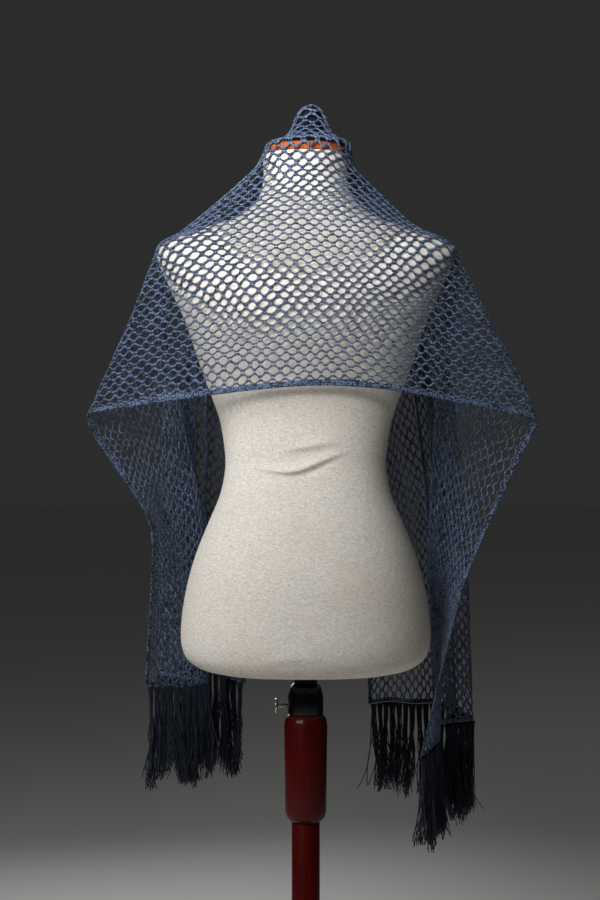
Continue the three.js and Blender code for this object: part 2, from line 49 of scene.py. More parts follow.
# camera, lights and floor
studio = {
    "camera": (-8, -2500, 1009), "lens": 72, "sensor": 36,
    "floor": 60000, "floorColour": "#f3f2ef",
    "world": "#d5d6d7", "worldStrength": 0.038,
    "lights": [
        # name, place, what it points at, width, watts, how many degrees it spreads
        ("keyLight", (-850, -1060, 1785), (0, 0, 1150), 1000, 27.5, 180),
        ("backLight", (-250, -1330, 1820), (85, 0, 1440), 420, 1.1, 36),
        ("frontLight", (-700, 2600, 1700), (0, 0, 1000), 1600, 13, 90),
    ],
}


def linear(hexColour):
    values = [int(hexColour[i:i + 2], 16) / 255 for i in (1, 3, 5)]
    return [*(v / 12.92 if v <= 0.04045 else ((v + 0.055) / 1.055) ** 2.4 for v in values), 1.0]


# A Mix node of colours has these sockets. A Math node that multiplies and adds takes its value
# at 0, the factor at 1 and what is added at 2.
mixShare, mixFirst, mixSecond, mixResult = 0, 6, 7, 2


def addNode(material, kind, settings=None, values=None, links=None):
    made = material.node_tree.nodes.new(kind)
    for key, value in (settings or {}).items():
        setattr(made, key, value)
    for key, value in (values or {}).items():
        made.inputs[key].default_value = value
    for key, socket in (links or {}).items():
        material.node_tree.links.new(socket, made.inputs[key])
    return made


def newMaterial(name):
    material = bpy.data.materials.new(name)
    material.use_nodes = True
    material.node_tree.nodes.clear()
    return material


def addCamera():
    data = bpy.data.cameras.new("studioCamera")
    data.lens = studio["lens"]
    data.sensor_width = studio["sensor"]
    camera = bpy.data.objects.new("studioCamera", data)
    camera.location = [value * mm for value in studio["camera"]]
    camera.rotation_euler = (math.radians(90), 0, 0)
    bpy.context.scene.collection.objects.link(camera)
    bpy.context.scene.camera = camera


def addLights():
    for name, place, aim, width, watts, spread in studio["lights"]:
        data = bpy.data.lights.new(name, "AREA")
        data.size = width * mm
        data.energy = watts
        data.spread = math.radians(spread)
        light = bpy.data.objects.new(name, data)
        direction = np.array(aim, float) - np.array(place, float)
        light.location = [value * mm for value in place]
        light.rotation_euler = Vector(direction).to_track_quat("-Z", "Y").to_euler()
        bpy.context.scene.collection.objects.link(light)


def addStudio():
    world = bpy.data.worlds.new("softStudio")
    world.use_nodes = True
    background = world.node_tree.nodes["Background"]
    background.inputs["Color"].default_value = linear(studio["world"])
    background.inputs["Strength"].default_value = studio["worldStrength"]
    bpy.context.scene.world = world
    material = newMaterial("mattPaintedFloor")  # flat paint: no gloss, hardly any grain
    shader = addNode(material, "ShaderNodeBsdfPrincipled",
                     values={"Base Color": linear(studio["floorColour"]), "Roughness": 0.85})
    addNode(material, "ShaderNodeOutputMaterial", links={"Surface": shader.outputs[0]})
    bm = bmesh.new()
    bmesh.ops.create_grid(bm, x_segments=1, y_segments=1, size=studio["floor"] * mm / 2)
    floor = newPiece("studioFloor", bm, material, smooth=False)
    bpy.context.scene.view_settings.view_transform = "Standard"


def newPiece(name, bm, material, smooth=True):
    mesh = bpy.data.meshes.new(name)
    bm.to_mesh(mesh)
    bm.free()
    piece = bpy.data.objects.new(name, mesh)
    bpy.context.scene.collection.objects.link(piece)
    mesh.materials.append(material)
    if smooth:
        mesh.shade_smooth()
    return piece


# Turns a piece's modifiers into its mesh.
def applyModifiers(piece):
    evaluated = piece.evaluated_get(bpy.context.evaluated_depsgraph_get())
    mesh = bpy.data.meshes.new_from_object(evaluated)
    piece.modifiers.clear()
    piece.data = mesh
    mesh.name = piece.name


def pointsOf(piece):
    points = np.empty(len(piece.data.vertices) * 3, np.float32)
    piece.data.vertices.foreach_get("co", points)
    return points.reshape(-1, 3).astype(float)


def setPoints(piece, points):
    piece.data.vertices.foreach_set("co", points.astype(np.float32).ravel())
    piece.data.update()


# Keeps where each point lay before the cloth was draped, for the yarn's patterns.
def keepLay(piece, lay):
    attribute = piece.data.attributes.new("yarnLay", "FLOAT_VECTOR", "POINT")
    attribute.data.foreach_set("vector", (lay * mm).astype(np.float32).ravel())


def holds(piece, slot, *nodes):
    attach(piece, body)
    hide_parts(*nodes)


# The Scale that draws a pattern's cells at a real size.
def noiseScale(size):
    return 1 / (size * mm)


# The same for a Wave node, whose bands stand 2 pi / 20 apart at a Scale of 1.
def waveScale(size):
    return 2 * math.pi / (20 * size * mm)


# Cotton crochet yarn, plied and worked in chain: matt, a faint sheen, and painted shade that
# darkens it between stitches. Below the least tone it is fully dark, which deepens that painted
# shade.
def yarnMaterial(name, dark, light, roughness, sheen, ply, stitch, leastTone):
    material = newMaterial(name)
    lay = addNode(material, "ShaderNodeAttribute", {"attribute_name": "yarnLay"})
    onLay = {"Vector": lay.outputs["Vector"]}
    patches = addNode(material, "ShaderNodeTexNoise",
                      values={"Scale": noiseScale(26), "Detail": 3.0}, links=onLay)
    fibres = addNode(material, "ShaderNodeTexNoise",
                     values={"Scale": noiseScale(0.9), "Detail": 4.0}, links=onLay)
    plies = addNode(material, "ShaderNodeTexWave", {"bands_direction": "DIAGONAL"},
                    {"Scale": waveScale(ply) * 2, "Distortion": 2.2, "Detail": 2.0,
                     "Detail Scale": 1.4}, onLay)
    drawn = addNode(material, "ShaderNodeMapping",
                    values={"Scale": [noiseScale(size) for size in stitch]}, links=onLay)
    stitches = addNode(material, "ShaderNodeTexVoronoi", {"feature": "F1"},
                       {"Scale": 1.0, "Randomness": 0.6}, {"Vector": drawn.outputs[0]})
    # the stitch domes raise the bump, and where they fall off into the gaps they darken the colour
    # there: painted shade between stitches
    domesAndGapShade = addNode(material, "ShaderNodeMapRange",
                    values={"From Min": 0.25, "From Max": 0.72, "To Min": 1.0, "To Max": 0.0},
                    links={"Value": stitches.outputs["Distance"]})
    tone = addNode(material, "ShaderNodeMath", {"operation": "MULTIPLY_ADD"}, {1: 0.8},
                   {0: domesAndGapShade.outputs[0], 2: patches.outputs["Fac"]})
    fibrous = addNode(material, "ShaderNodeMath", {"operation": "MULTIPLY_ADD"}, {1: 0.5},
                      {0: fibres.outputs["Fac"], 2: tone.outputs[0]})
    # the dark share: painted shade between stitches, mixed with the yarn's own patches and fibres
    toned = addNode(material, "ShaderNodeMapRange",
                    values={"From Min": leastTone, "From Max": 1.55},
                    links={"Value": fibrous.outputs[0]})
    colour = addNode(material, "ShaderNodeMix", {"data_type": "RGBA"},
                     {mixFirst: linear(dark), mixSecond: linear(light)},
                     {mixShare: toned.outputs[0]})
    relief = addNode(material, "ShaderNodeMath", {"operation": "MULTIPLY_ADD"}, {1: 2.0},
                     {0: domesAndGapShade.outputs[0], 2: plies.outputs["Fac"]})
    fuzzy = addNode(material, "ShaderNodeMath", {"operation": "MULTIPLY_ADD"}, {1: 0.4},
                    {0: fibres.outputs["Fac"], 2: relief.outputs[0]})
    bump = addNode(material, "ShaderNodeBump", values={"Strength": 0.8, "Distance": 0.4 * mm},
                   links={"Height": fuzzy.outputs[0]})
    shader = addNode(material, "ShaderNodeBsdfPrincipled",
                     values={"Roughness": roughness, "IOR": 1.53, "Specular IOR Level": 0.35,
                             "Sheen Weight": sheen, "Sheen Roughness": 0.45,
                             "Sheen Tint": linear(light)},
                     links={"Base Color": colour.outputs[mixResult],
                            "Normal": bump.outputs["Normal"]})
    addNode(material, "ShaderNodeOutputMaterial", links={"Surface": shader.outputs[0]})
    return material


# Linen-look jersey, knitted and drawn tight: matt off-white with level slubs, flecks and specks.
# Its threads are drawn about twice their real 0.7 mm, as they would be too fine to show.
def linenMaterial():
    material = newMaterial("linenJerseyCover")
    place = addNode(material, "ShaderNodeTexCoord")
    inPlace = {"Vector": place.outputs["Object"]}
    drawn = addNode(material, "ShaderNodeMapping", values={"Scale": (0.3, 0.3, 1.0)},
                    links=inPlace)
    slubs = addNode(material, "ShaderNodeTexNoise",
                    values={"Scale": noiseScale(1.5), "Detail": 2.0, "Roughness": 0.6},
                    links={"Vector": drawn.outputs[0]})
    knit = addNode(material, "ShaderNodeTexNoise",
                   values={"Scale": noiseScale(1.4), "Detail": 2.0, "Roughness": 0.6},
                   links=inPlace)
    stains = addNode(material, "ShaderNodeTexNoise",
                     values={"Scale": noiseScale(70), "Detail": 3.0},
                     links=inPlace)
    specks = addNode(material, "ShaderNodeTexVoronoi", {"feature": "F1"},
                     {"Scale": noiseScale(12), "Randomness": 1.0}, inPlace)
    height = addNode(material, "ShaderNodeMath", {"operation": "MULTIPLY_ADD"}, {1: 0.7},
                     {0: knit.outputs["Fac"], 2: slubs.outputs["Fac"]})
    threadShare = addNode(material, "ShaderNodeMapRange",
                          values={"From Min": 0.64, "From Max": 1.06},
                          links={"Value": height.outputs[0]})
    threads = addNode(material, "ShaderNodeMix", {"data_type": "RGBA"},
                      {mixFirst: linear("#bfb9ae"), mixSecond: linear("#e4ded6")},
                      {mixShare: threadShare.outputs[0]})
    stainShare = addNode(material, "ShaderNodeMapRange",
                         values={"From Min": 0.45, "From Max": 0.75, "To Max": 0.25},
                         links={"Value": stains.outputs["Fac"]})
    aged = addNode(material, "ShaderNodeMix", {"data_type": "RGBA"},
                   {mixSecond: linear("#cbb9a8")},
                   {mixShare: stainShare.outputs[0], mixFirst: threads.outputs[mixResult]})
    speckShare = addNode(material, "ShaderNodeMapRange",
                         values={"From Min": 0.04, "From Max": 0.12,
                                 "To Min": 0.55, "To Max": 0.0},
                         links={"Value": specks.outputs["Distance"]})
    specked = addNode(material, "ShaderNodeMix", {"data_type": "RGBA"},
                      {mixSecond: linear("#8d7c6a")},
                      {mixShare: speckShare.outputs[0], mixFirst: aged.outputs[mixResult]})
    bump = addNode(material, "ShaderNodeBump", values={"Strength": 0.9, "Distance": 0.6 * mm},
                   links={"Height": height.outputs[0]})
    shader = addNode(material, "ShaderNodeBsdfPrincipled",
                     values={"Roughness": 0.9, "IOR": 1.5, "Specular IOR Level": 0.25,
                             "Sheen Weight": 0.15, "Sheen Roughness": 0.6},
                     links={"Base Color": specked.outputs[mixResult],
                            "Normal": bump.outputs["Normal"]})
    addNode(material, "ShaderNodeOutputMaterial", links={"Surface": shader.outputs[0]})
    return material


# Turned hardwood: grain drawn out along the lathe's axis. A lacquer coat makes it mirror-smooth.
def woodMaterial(name, dark, light, roughness, coat):
    material = newMaterial(name)
    place = addNode(material, "ShaderNodeTexCoord")
    drawn = addNode(material, "ShaderNodeMapping", values={"Scale": (1.0, 1.0, 0.07)},
                    links={"Vector": place.outputs["Object"]})
    grain = addNode(material, "ShaderNodeTexNoise",
                    values={"Scale": noiseScale(3.5), "Detail": 6.0, "Distortion": 0.6},
                    links={"Vector": drawn.outputs[0]})
    pores = addNode(material, "ShaderNodeTexNoise",
                    values={"Scale": noiseScale(0.7), "Detail": 2.0},
                    links={"Vector": drawn.outputs[0]})
    share = addNode(material, "ShaderNodeMapRange", values={"From Min": 0.2, "From Max": 0.75},
                    links={"Value": grain.outputs["Fac"]})
    colour = addNode(material, "ShaderNodeMix", {"data_type": "RGBA"},
                     {mixFirst: linear(dark), mixSecond: linear(light)},
                     {mixShare: share.outputs[0]})
    bump = addNode(material, "ShaderNodeBump", values={"Strength": 0.12, "Distance": 0.1 * mm},
                   links={"Height": pores.outputs["Fac"]})
    shader = addNode(material, "ShaderNodeBsdfPrincipled",
                     values={"Roughness": roughness, "IOR": 1.5, "Specular IOR Level": 0.08,
                             "Coat Weight": coat, "Coat Roughness": 0.06, "Coat IOR": 1.5},
                     links={"Base Color": colour.outputs[mixResult],
                            "Normal": bump.outputs["Normal"]})
    addNode(material, "ShaderNodeOutputMaterial", links={"Surface": shader.outputs[0]})
    return material


# Steel, turned and then blackened or plated: half-bright, with faint rings from the tool.
def metalMaterial(name, colour):
    material = newMaterial(name)
    place = addNode(material, "ShaderNodeTexCoord")
    drawn = addNode(material, "ShaderNodeMapping", values={"Scale": (0.1, 0.1, 1.0)},
                    links={"Vector": place.outputs["Object"]})
    rings = addNode(material, "ShaderNodeTexNoise",
                    values={"Scale": noiseScale(0.8), "Detail": 3.0},
                    links={"Vector": drawn.outputs[0]})
    rough = addNode(material, "ShaderNodeMapRange", values={"To Min": 0.18, "To Max": 0.38},
                    links={"Value": rings.outputs["Fac"]})
    bump = addNode(material, "ShaderNodeBump", values={"Strength": 0.15, "Distance": 0.06 * mm},
                   links={"Height": rings.outputs["Fac"]})
    shader = addNode(material, "ShaderNodeBsdfPrincipled",
                     values={"Base Color": linear(colour), "Metallic": 1.0},
                     links={"Roughness": rough.outputs[0], "Normal": bump.outputs["Normal"]})
    addNode(material, "ShaderNodeOutputMaterial", links={"Surface": shader.outputs[0]})
    return material


netYarn = yarnMaterial("plyCottonNetYarn", "#141c2c", "#61728f", 0.78, 0.12, 1.5,
                       (4.3, 4, 4), 0.6)
# the border's near-black dark and high least tone paint deep shade between its stitches, besides
# the yarn's own flecks
borderYarn = yarnMaterial("plyCottonBorderYarn", "#03060c", "#687ca0", 0.78, 0.12, 1.5,
                          (3.4, 2.7, 9), 0.85)
fringeYarn = yarnMaterial("looseCottonFringeYarn", "#05080f", "#242f46", 0.62, 0.1, 1.2,
                          (25, 4, 4), 0.8)
linenJersey = linenMaterial()
mahogany = woodMaterial("lacqueredMahogany", "#280101", "#4c0202", 0.5, 0.2)
# the knob is coloured near-black with a blue-grey cast, unlike the stand's mahogany
knobWood = woodMaterial("blueBlackKnobWood", "#0b0e14", "#19202b", 0.85, 0.0)
orangeWood = woodMaterial("oiledOrangeWood", "#7d300f", "#c25f26", 0.6, 0.05)
darkMetal = metalMaterial("blackenedTurnedSteel", "#2f2f32")
brightMetal = metalMaterial("zincPlatedTurnedSteel", "#a9a9a4")
addCamera()
addLights()
addStudio()
print("studio and finishes made")


# the dress form
form = {
    "neckTop": 718, "squareness": 2.25, "around": 160, "rings": 200, "sharp": 60,
    # (share of the rings, height): they stand closer at the lower edge and at the creases
    "ringPlaces": [(0, 0), (0.06, 15), (0.34, 250), (0.66, 330), (1, 718)],
    # height, half width, depth behind and in front of the axis
    "sections": [
        (0, 116, 80, 70), (5, 140, 95, 84), (13, 156, 105, 92), (24, 167, 112, 98),
        (46, 173, 117, 103), (84, 171, 118, 103), (124, 164, 116, 100), (166, 152, 108, 97),
        (206, 136, 97, 94), (247, 119, 84, 91), (281, 112, 76, 91), (304, 112, 75, 92),
        (349, 119, 80, 98), (381, 130, 88, 105), (402, 138, 93, 109), (442, 152, 101, 113),
        (484, 166, 107, 110), (532, 188, 105, 94), (568, 204, 92, 76), (582, 206, 84, 67),
        (596, 196, 75, 58), (610, 163, 68, 52), (619, 132, 64, 50), (628, 105, 62, 49),
        (642, 81, 60, 50), (658, 66, 58, 52), (681, 59, 57, 55), (713, 58.5, 57, 56.5),
        (718, 55, 54, 54),
    ],
    "bust": {"height": 440, "tall": 52, "out": 74, "wide": 38, "depth": 13},
    # Creases of the cover across the back: each a soft roll over a sharp lower edge, through
    # points (x, height), with how far it rises and how wide its upper and lower sides are.
    "creases": [
        ([(-72, 286), (-48, 282), (-26, 279), (-10, 281), (6, 287), (22, 294), (40, 302),
          (62, 305)], 5.2, 8.5, 3.6),
        ([(-36, 308), (-8, 312), (12, 315), (28, 318), (46, 320)], 2.6, 8, 4.6),
        ([(-64, 25), (-30, 29), (8, 31), (30, 31)], 1.6, 8, 3.4),
        ([(-92, 255), (-60, 252), (-30, 256)], 0.6, 12, 4),
    ],
    # how a crease swells along its length, and the groove that its lower edge leaves under it
    "creaseShape": {"lean": 0.9, "taper": 1.4, "leastUpper": 0.4, "groove": 0.25,
                    "grooveDrop": 8, "grooveWide": 6},
}
sectionRows = np.array(form["sections"], float)
# from the row below each row to the row above it, or one-sided at the two ends
rowSpans = (np.vstack([sectionRows[1:], sectionRows[-1:]])
            - np.vstack([sectionRows[:1], sectionRows[:-1]]))
sectionSlopes = rowSpans[:, 1:] / rowSpans[:, :1]


# The form's half width and its depths at some heights, smoothed through the table's rows.
def sectionAt(height):
    height = np.clip(height, 0, form["neckTop"])
    i = np.clip(np.searchsorted(sectionRows[:, 0], height), 1, len(sectionRows) - 1)
    span = (sectionRows[i, 0] - sectionRows[i - 1, 0])[:, None]
    f = ((height - sectionRows[i - 1, 0])[:, None]) / span
    return ((2 * f**3 - 3 * f**2 + 1) * sectionRows[i - 1, 1:]
            + (f**3 - 2 * f**2 + f) * span * sectionSlopes[i - 1]
            + (3 * f**2 - 2 * f**3) * sectionRows[i, 1:] + (f**3 - f**2) * span * sectionSlopes[i])


def formRadius(height, cx, cy):
    section = sectionAt(height)
    depth = np.where(cy < 0, section[:, 1], section[:, 2])
    n = form["squareness"]
    r = (np.abs(cx / section[:, 0]) ** n + np.abs(cy / depth) ** n) ** (-1 / n)
    bust = form["bust"]
    side = (np.abs(cx * r) - bust["out"]) / bust["wide"]
    level = (height - bust["height"]) / bust["tall"]
    mound = bust["depth"] * np.exp(-side**2 - level**2)
    return np.where(cy > 0, r + mound * cy, r)


# A tall drum is cut into rings, and each ring takes the form's section at its height.
def makeForm():
    height, rings = form["neckTop"], form["rings"]
    bm = bmesh.new()
    bmesh.ops.create_cone(bm, cap_ends=True, cap_tris=False, segments=form["around"],
                          radius1=1, radius2=1, depth=height,
                          matrix=Matrix.Translation((0, 0, height / 2)))
    upright = [e for e in bm.edges if abs(e.verts[0].co.z - e.verts[1].co.z) > 1]
    bmesh.ops.subdivide_edges(bm, edges=upright, cuts=rings - 1)
    piece = newPiece("dressForm", bm, linenJersey)
    points = pointsOf(piece)
    h = np.interp(points[:, 2] / height, *zip(*form["ringPlaces"]))
    section = sectionAt(h)
    x = points[:, 0] * section[:, 0]
    y = points[:, 1] * np.where(points[:, 1] < 0, section[:, 1], section[:, 2])
    size = np.hypot(x, y)
    cx, cy = x / size, y / size
    r = formRadius(h, cx, cy)
    shape = form["creaseShape"]
    least = shape["leastUpper"]
    for path, rise, upperSide, lowerSide in form["creases"]:
        xs, hs = zip(*path)
        above = h - np.interp(cx * r, xs, hs)
        share = np.clip((cx * r - xs[0]) / (xs[-1] - xs[0]), 0, 1)
        swell = np.sin(math.pi * share ** shape["lean"]) ** shape["taper"]
        upper = np.exp(-(above / (upperSide * (least + (1 - least) * swell))) ** 2)
        groove = np.exp(-((above + shape["grooveDrop"]) / shape["grooveWide"]) ** 2)
        lower = np.exp(-(above / lowerSide) ** 2) - shape["groove"] * groove
        r = r + np.where(cy < 0, rise * swell * np.where(above > 0, upper, lower), 0)
    setPoints(piece, np.stack([cx * r, cy * r, formBottom + h], axis=1) * mm)
    piece.data.set_sharp_from_angle(angle=math.radians(form["sharp"]))
    holds(piece, "linen_jersey", "form_body")
    return piece


dressForm = makeForm()
print("dress form made")


# the stand: each outline is (height, radius) from the piece's own lower end, and rims sharper
# than an angle are eased
stand = {
    "around": 64, "seam": 0.3, "sharpRim": 28, "sharp": 50, "ease": 0.6, "bigEase": 1.5,
    "cap": {"thickness": 12, "outline": [(0, 52), (2, 54), (9, 54), (12, 51)]},
    "knob": {"over": 7, "outline": [(0, 32), (4, 33), (8, 30), (14, 21), (22, 15), (30, 13.5),
                                    (38, 14.5), (45, 14), (50, 10), (53, 5), (54, 2)]},
    "collar": {"drop": 57, "outline": [(0, 24.5), (24, 24.5), (35, 22), (40, 19.5), (43, 16),
                                       (51, 16), (53, 33), (56.7, 33)]},
    "sleeve": {"drop": 206, "outline": [(0, 21.5), (6, 26.5), (14, 28.5), (70, 29.1), (133, 30),
                                        (142, 28.5), (148.7, 24)]},
    "post": {"radius": 19.5},
    "base": {"foot": 74, "outline": [(0, 174), (4, 178), (20, 178), (27, 174), (30, 166), (30, 62),
                                     (38, 50), (58, 34), (74, 28)]},
    "screw": {"drop": 46, "from": 24.8, "outline": [(0, 3.2), (14, 3.2), (14, 9), (15, 10),
                                                    (17.4, 10), (18.4, 9)]},
}


# A turned piece: its outline from axis to axis, spun once round, with its sharp rims eased.
def turnedPiece(name, outline, place, material, slot, node, ease=stand["ease"]):
    bm = bmesh.new()
    outline = [(outline[0][0], 0), *outline, (outline[-1][0], 0)]
    line = [bm.verts.new((r, 0, h)) for h, r in outline]
    edges = [bm.edges.new(pair) for pair in zip(line, line[1:])]
    bmesh.ops.spin(bm, geom=line + edges, cent=(0, 0, 0), axis=(0, 0, 1), dvec=(0, 0, 0),
                   angle=2 * math.pi, steps=stand["around"], use_merge=True, use_duplicate=False)
    bmesh.ops.remove_doubles(bm, verts=bm.verts, dist=0.01)
    bmesh.ops.recalc_face_normals(bm, faces=bm.faces)
    sharp = [e for e in bm.edges if len(e.link_faces) == 2
             and e.calc_face_angle(0) > math.radians(stand["sharpRim"])]
    bmesh.ops.bevel(bm, geom=sharp, offset=ease, offset_type="OFFSET", affect="EDGES",
                    segments=2, profile=0.5, material=-1)
    bmesh.ops.transform(bm, matrix=Matrix.Scale(mm, 4) @ place, verts=bm.verts)
    piece = newPiece(name, bm, material)
    piece.data.set_sharp_from_angle(angle=math.radians(stand["sharp"]))
    holds(piece, slot, node)
    return piece


def at(x, z):
    return Matrix.Translation((x, 0, z))


seam = stand["seam"]
capBase = formBottom + form["neckTop"] + seam
sleeveBase = formBottom - stand["sleeve"]["drop"]
foot = stand["base"]["foot"]
turnedPiece("neckCap", stand["cap"]["outline"], at(0, capBase), orangeWood, "orange_wood",
            "neck_cap")
turnedPiece("finialKnob", stand["knob"]["outline"],
            at(stand["knob"]["over"], capBase + stand["cap"]["thickness"] + seam),
            knobWood, "mahogany", "finial_knob")
turnedPiece("metalCollar", stand["collar"]["outline"], at(0, formBottom - stand["collar"]["drop"]),
            darkMetal, "dark_metal", "metal_collar")
turnedPiece("postSleeve", stand["sleeve"]["outline"], at(0, sleeveBase), mahogany, "mahogany",
            "post_sleeve", stand["bigEase"])
turnedPiece("standPost", [(0, stand["post"]["radius"]),
                          (sleeveBase - foot - 2 * seam, stand["post"]["radius"])],
            at(0, foot + seam), mahogany, "mahogany", "post")
turnedPiece("standBase", stand["base"]["outline"], at(0, 0), mahogany, "mahogany", "base",
            stand["bigEase"])
turnedPiece("thumbScrew", stand["screw"]["outline"],
            at(-stand["screw"]["from"], formBottom - stand["screw"]["drop"])
            @ Matrix.Rotation(math.radians(-90), 4, "Y"), brightMetal, "dark_metal", "thumb_screw")
print("stand made")


# The lay of the stole. v runs across it from its outer edge, a and u along it from the middle
# of the back, u counting to the left as negative. Rows are (v, x, y, height) or, where the
# place along the stole differs from row to row, (v, a, x, y, height).
stole = {
    "width": 600, "leftLength": 815, "rightLength": 880,
    "clearance": 2.2, "turnSoftness": 20, "openSoftness": 70, "softnessRate": 0.7,
    "leastSoftness": 0.01, "foldSoftness": 17, "step": 2.5,
    # up the back, over the neck and the knob, and down to the throat
    "middle": [
        (0, 4, -117, 396), (60, 4, -118, 456), (130, 3, -114, 526), (190, 2, -103, 584),
        (235, 1, -86, 625), (262, 1, -72, 648), (290, 1, -63, 675), (334, 2, -60, 719),
        (348, 3, -52, 733), (366, 5, -38, 741), (395, 8, -21, 764), (420, 11, -16, 788),
        (440, 12, 0, 801), (460, 11, 16, 788), (485, 8, 21, 764), (512, 5, 39, 741),
        (531, 4, 56, 732), (545, 3, 60, 718), (600, 2, 66, 664),
    ],
    # over the shoulder blades: (v, a, how far out from the middle, y, height)
    "blade": [
        (0, 112, 107, -101, 391), (130, 112, 107, -99, 522), (200, 104, 100, -90, 589),
        (235, 95, 90, -74, 622), (262, 80, 76, -60, 642), (300, 62, 58, -46, 670),
        (350, 44, 42, -42, 724), (385, 28, 26, -22, 748), (440, 32, 20, 16, 776),
        (490, 34, 28, 40, 742), (545, 36, 32, 62, 704), (600, 26, 22, 68, 658),
    ],
    # the lower edge hangs this much lower beside the middle on the left, dying out up the back
    "leftDip": 6, "dipReach": 130,
    # where each row turns forward: the wing's edge, the shoulder, the neck and the throat
    "turn": {
        "left": [
            (0, 335, -308, -12, 359), (130, 262, -247, -10, 496), (215, 213, -211, -9, 589),
            (255, 185, -173, -8, 616), (300, 138, -123, -5, 657), (350, 86, -64, -2, 708),
            (385, 58, -54, 12, 736), (440, 98, -58, 56, 712), (490, 74, -50, 46, 704),
            (545, 84, -54, 72, 660), (600, 52, -38, 66, 644),
        ],
        "right": [
            (0, 345, 326, -12, 350), (50, 330, 309, -11, 404), (125, 283, 265, -10, 483),
            (212, 222, 212, -9, 586), (235, 203, 194, -9, 602), (262, 168, 156, -7, 618),
            (320, 100, 95, -4, 677), (350, 80, 64, -2, 702), (385, 56, 58, 12, 734),
            (445, 98, 60, 56, 710), (495, 74, 52, 46, 704), (548, 84, 56, 72, 660),
            (600, 52, 40, 66, 642),
        ],
    },
    # over the collar bone, where the folds open
    "collar": {
        "left": [
            (0, 360, -299, 0, 338), (130, 312, -222, 28, 462), (215, 275, -200, 38, 545),
            (255, 268, -178, 62, 566), (300, 230, -150, 54, 592), (345, 250, -146, 92, 586),
            (395, 215, -112, 64, 602), (440, 242, -110, 104, 592), (490, 186, -78, 72, 606),
            (545, 182, -76, 112, 592), (600, 122, -46, 88, 598),
        ],
        "right": [
            (0, 368, 316, 0, 331), (125, 325, 240, 28, 452), (212, 280, 205, 38, 543),
            (258, 262, 176, 64, 566), (305, 228, 146, 54, 592), (350, 246, 144, 94, 586),
            (398, 218, 110, 64, 602), (445, 244, 112, 106, 590), (495, 186, 78, 72, 604),
            (548, 182, 80, 112, 590), (600, 122, 48, 88, 596),
        ],
    },
    # each fall at the chest, the waist and the hem: (a, rows)
    "fall": {
        "left": [
            (385, [
                (0, -288, 12, 315), (80, -232, 42, 362), (155, -182, 62, 408),
                (230, -206, 116, 432), (300, -152, 86, 440), (350, -178, 130, 442),
                (400, -140, 98, 442), (450, -146, 146, 436), (500, -104, 128, 424),
                (550, -104, 164, 400), (600, -70, 146, 356)]),
            (565, [
                (0, -209, -14, 209), (80, -190, 50, 204), (150, -142, 74, 215),
                (230, -216, 108, 236), (300, -158, 110, 243), (350, -183, 144, 243),
                (400, -144, 126, 243), (450, -152, 164, 242), (500, -112, 130, 238),
                (550, -116, 168, 222), (600, -78, 144, 200)]),
            (815, [
                (0, -223, -4, -17), (80, -172, 46, -27), (150, -134, 80, -26),
                (230, -220, 108, -16), (300, -156, 117, -12), (350, -182, 150, -12),
                (400, -140, 132, -12), (450, -156, 166, -14), (500, -116, 138, -18),
                (550, -124, 170, -26), (600, -88, 148, -34)]),
        ],
        "right": [
            (392, [
                (0, 304, 12, 308), (85, 238, 44, 360), (165, 184, 58, 408),
                (235, 214, 118, 428), (305, 166, 96, 434), (355, 182, 142, 434),
                (405, 152, 104, 434), (455, 158, 150, 430), (505, 112, 130, 420),
                (552, 106, 166, 396), (600, 70, 148, 350)]),
            (585, [
                (0, 218, -36, 136), (85, 198, 36, 158), (165, 172, 82, 188),
                (235, 238, 110, 212), (305, 188, 122, 222), (355, 212, 156, 224),
                (405, 176, 134, 224), (455, 190, 176, 220), (505, 162, 146, 214),
                (552, 128, 168, 198), (600, 88, 152, 176)]),
            (880, [
                (0, 158, -20, -114), (85, 190, 44, -102), (165, 188, 102, -88),
                (235, 248, 114, -84), (305, 204, 134, -76), (355, 228, 174, -72),
                (405, 186, 152, -70), (455, 200, 188, -68), (505, 160, 160, -66),
                (552, 127, 186, -65), (600, 93, 162, -67)]),
        ],
    },
    # what the cloth keeps clear of above the neck: (height over it, radius)
    "envelope": [(0, 57), (5, 56.5), (12, 56.5), (15, 53), (20, 39), (28, 29), (39, 23), (51, 19),
                 (60, 14), (65, 8), (68, 0.5)],
    "offsetRise": 20, "tipBlunt": 7,
    # where the net over the neck and the knob is evened out: |u| and v, from none to full
    "head": {"alongNone": 150, "alongFull": 90, "acrossNone": 315, "acrossFull": 360,
             "passes": 60, "ease": 0.7, "hug": 0.4, "hugNone": 6, "hugFull": 16, "hugAlong": 240},
    "patch": [(-1, 1), (-0.67, 3), (-0.33, 5), (0, 6), (0.33, 5), (0.67, 3), (1, 1)],
}


# Straight lines between a table's rows, and on past its ends.
def fromTable(rows, key):
    rows = np.array(rows, float)
    i = np.clip(np.searchsorted(rows[:, 0], key), 1, len(rows) - 1)
    low, high = rows[i - 1], rows[i]
    return low + (high - low) * ((key - low[..., 0]) / (high[..., 0] - low[..., 0]))[..., None]


# How far points (x, y, height) are outside the form, its cap and its knob, about level.
def outside(points):
    x, y, h = points.T
    r = np.maximum(np.hypot(x, y), 1e-6)
    onForm = r - formRadius(h, x / r, y / r)
    rise = h - form["neckTop"]
    shift = stand["knob"]["over"] * np.clip(rise / stole["offsetRise"], 0, 1)
    # radii are rounded off near the axis, so that the tip lifts straight up
    blunt = stole["tipBlunt"]
    rows = [(level, math.hypot(reach, blunt)) for level, reach in stole["envelope"]]
    overCap = np.hypot(np.hypot(x - shift, y), blunt) - fromTable(rows, rise)[:, 1]
    return np.where(rise <= 0, onForm, overCap)


